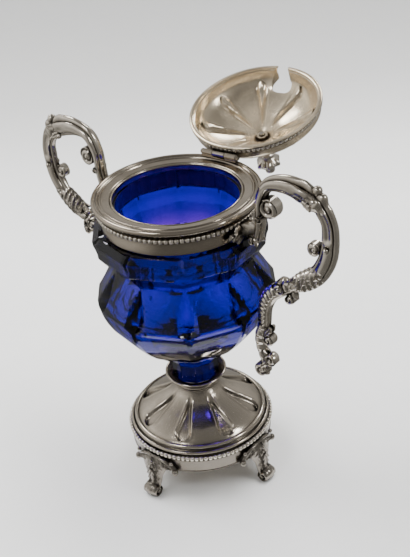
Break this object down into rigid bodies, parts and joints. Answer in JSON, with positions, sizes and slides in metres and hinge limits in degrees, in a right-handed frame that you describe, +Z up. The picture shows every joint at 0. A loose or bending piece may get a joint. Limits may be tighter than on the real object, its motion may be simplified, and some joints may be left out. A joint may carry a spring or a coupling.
{
  "type": "covered condiment pot",
  "caption": "Small two-handled covered pot of cobalt cut glass in a cast silver mount, with a hinged domed lid that has a spoon notch, on a beaded foot",
  "frame": {"origin": "middle of the floor under the whole pot with its lid fully open; the bowl's own axis stands 22.8 mm in front of it, at y = -0.0228", "axes": "+Z up, +X towards the right handle, +Y back towards the hinge side"},
  "size_m": [0.1418, 0.119, 0.1441],
  "materials": {
    "cobalt_glass": "polished cut glass, deep cobalt blue",
    "silver": "polished silver, lightly tarnished",
    "cast_silver": "cast silver, dark in the hollows",
    "lid_silver": "raised silver, warm grey inside",
    "plaster": "matt plaster bedding",
    "steel": "dull threaded steel"
  },
  "bodies": {
    "bowl": {"glass_bowl": "cobalt_glass", "collar": "silver", "collar_bead_ring": "silver", "collar_plaster": "plaster", "handle_right": "cast_silver", "handle_left": "cast_silver", "hinge_plate": "silver", "hinge_pin": "silver", "dish": "silver", "dish_plaster": "plaster", "neck_ring": "silver", "stem_rod": "steel", "foot_nut": "steel", "foot_dome": "silver", "foot_bead_ring": "silver", "skirt_band": "silver", "foot_front": "cast_silver", "foot_right": "cast_silver", "foot_back": "cast_silver", "foot_left": "cast_silver"},
    "lid": {"lid": "lid_silver", "lid_bead_ring": "silver", "lid_hinge_leaf": "silver", "finial": "cast_silver", "finial_nut": "cast_silver"}
  },
  "joints": [
    {"name": "lid_hinge", "type": "hinge", "parent": "bowl", "child": "lid", "pos_m": [-0.0021, 0.0058, 0.1273], "axis": [0.9973, 0.0732, 0], "range_deg": [0, 165]}
  ]
}
